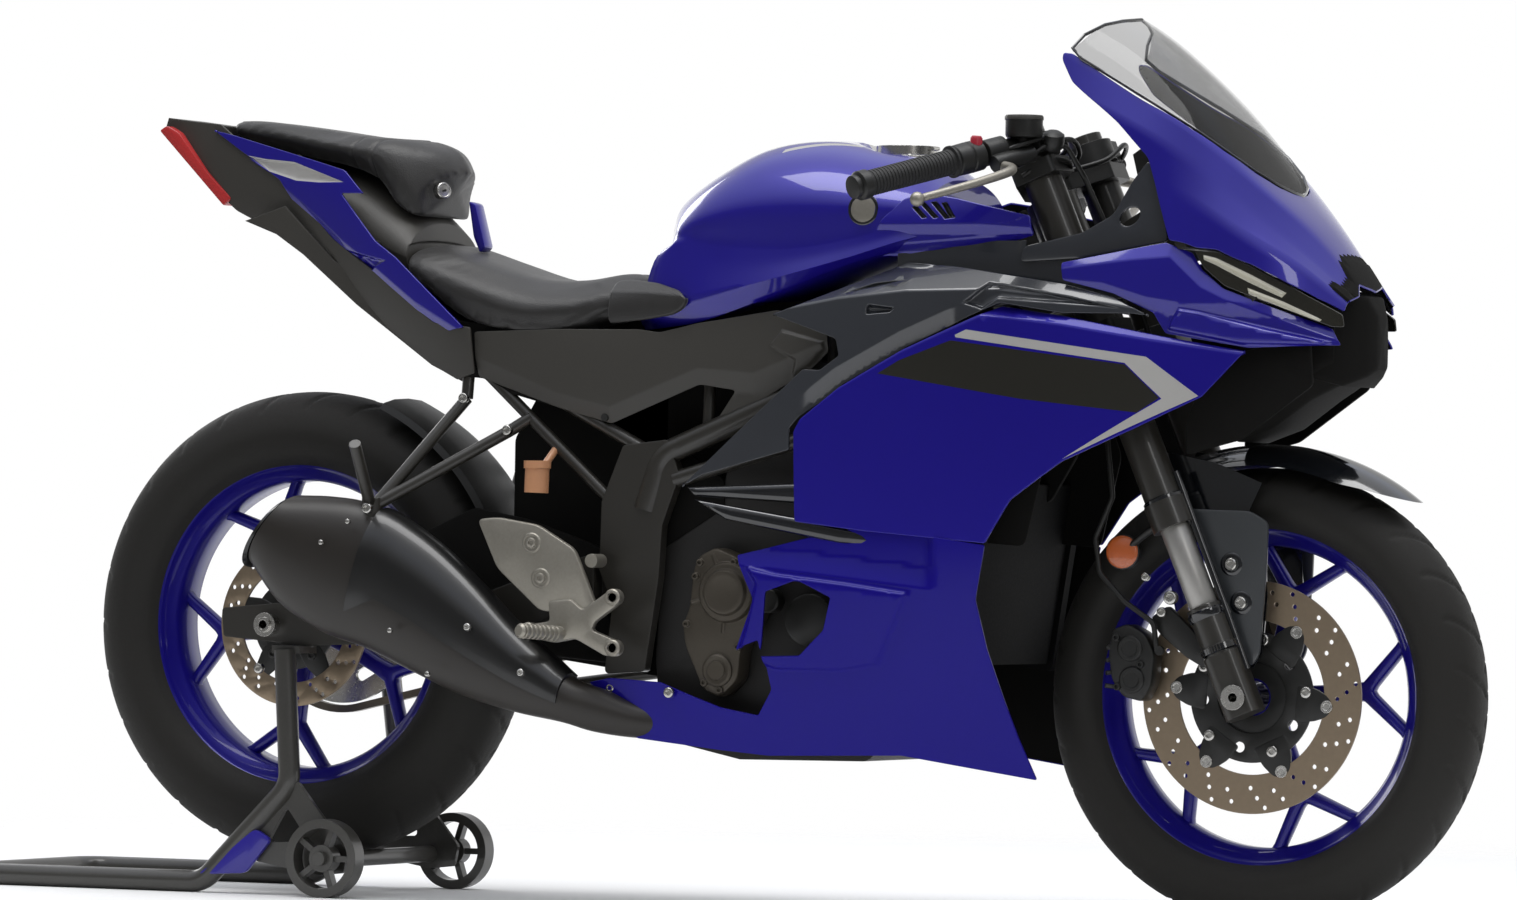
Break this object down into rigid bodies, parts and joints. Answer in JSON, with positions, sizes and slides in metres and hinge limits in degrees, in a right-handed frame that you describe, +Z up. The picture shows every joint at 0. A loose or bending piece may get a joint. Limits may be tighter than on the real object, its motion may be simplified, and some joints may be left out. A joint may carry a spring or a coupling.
{
  "type": "sport bike on a rear paddock stand",
  "caption": "Faired sport motorcycle with steering, free wheels, side stand and fuel cap, held upright by a rear paddock stand on rollers.",
  "frame": {"origin": "on the floor under the middle of the bounding box", "axes": "+X forward to the front wheel, +Y to the rider's left, +Z up"},
  "size_m": [2.123, 0.733, 1.1775],
  "materials": {
    "blue_paint": "gloss",
    "blue_rim": "satin",
    "gloss_black": "gloss",
    "grey_cover": "matte",
    "black_plastic": "matte",
    "frame_black": "satin",
    "engine_black": "satin",
    "radiator_core": "matte",
    "exhaust_black": "matte",
    "seat_vinyl": "matte",
    "tyre_rubber": "matte",
    "grip_rubber": "matte",
    "disc_steel": "brushed",
    "bright_steel": "polished",
    "cast_aluminium": "satin",
    "chain_steel": "oiled",
    "screen_smoke": "smoked",
    "lamp_lens": "clear",
    "red_lens": "gloss",
    "stand_paint": "satin"
  },
  "bodies": {
    "chassis": {"brake_reservoir": "cast_aluminium", "chain": "chain_steel", "cheek_panels": "blue_paint", "dash": "black_plastic", "engine": "engine_black", "engine_covers": "engine_black", "exhaust_pipes": "exhaust_black", "fairing_stays": "frame_black", "frame": "frame_black", "headlights": "lamp_lens", "hugger": "black_plastic", "inner_panels": "black_plastic", "lower_fairings": "blue_paint", "muffler": "exhaust_black", "nose_cowl": "blue_paint", "paddock_stand": "stand_paint", "pillion_hangers": "frame_black", "pillion_seat": "seat_vinyl", "radiator": "radiator_core", "rear_axle": "bright_steel", "rear_brake": "engine_black", "rearsets": "cast_aluminium", "scoop_panels": "gloss_black", "seat": "seat_vinyl", "shock": "frame_black", "side_covers": "grey_cover", "side_fairings": "blue_paint", "swingarm": "frame_black", "tail_light": "red_lens", "tail_panels": "blue_paint", "tank": "blue_paint", "undertail": "black_plastic", "windscreen": "screen_smoke"},
    "steering": {"brake_hose": "grip_rubber", "fork_legs": "frame_black", "fork_tubes": "bright_steel", "triple_clamps": "frame_black", "handlebars": "frame_black", "grips": "grip_rubber", "controls": "black_plastic", "front_fender": "gloss_black", "front_caliper": "engine_black", "front_axle": "bright_steel"},
    "front_wheel": {"front_rim": "blue_rim", "front_tyre": "tyre_rubber", "front_disc": "disc_steel"},
    "rear_wheel": {"rear_rim": "blue_rim", "rear_tyre": "tyre_rubber", "rear_disc": "disc_steel", "rear_sprocket": "chain_steel"},
    "side_stand": {"side_stand": "frame_black"},
    "fuel_cap": {"fuel_cap": "cast_aluminium"},
    "roller_left": {"roller_left": "black_plastic"},
    "roller_right": {"roller_right": "black_plastic"}
  },
  "joints": [
    {"name": "steering", "type": "hinge", "parent": "chassis", "child": "steering", "pos_m": [0.73383, 0, 0.27819], "axis": [-0.3928, 0, 0.9196], "range_deg": [-32, 32]},
    {"name": "front_wheel_spin", "type": "hinge", "parent": "steering", "child": "front_wheel", "pos_m": [0.7685, 0, 0.293], "axis": [0, 1, 0], "continuous": true},
    {"name": "rear_wheel_spin", "type": "hinge", "parent": "chassis", "child": "rear_wheel", "pos_m": [-0.6115, 0, 0.359], "axis": [0, 1, 0], "continuous": true},
    {"name": "side_stand_swing", "type": "hinge", "parent": "chassis", "child": "side_stand", "pos_m": [-0.1, 0.15, 0.312], "axis": [0, -1, 0], "range_deg": [0, 105]},
    {"name": "fuel_cap_hinge", "type": "hinge", "parent": "chassis", "child": "fuel_cap", "pos_m": [0.29, 0, 0.9975], "axis": [0, 1, 0], "range_deg": [0, 95]},
    {"name": "roller_left_spin", "type": "hinge", "parent": "chassis", "child": "roller_left", "pos_m": [-0.49, 0.192, 0.052], "axis": [0, 1, 0], "continuous": true},
    {"name": "roller_right_spin", "type": "hinge", "parent": "chassis", "child": "roller_right", "pos_m": [-0.49, -0.192, 0.052], "axis": [0, 1, 0], "continuous": true}
  ]
}
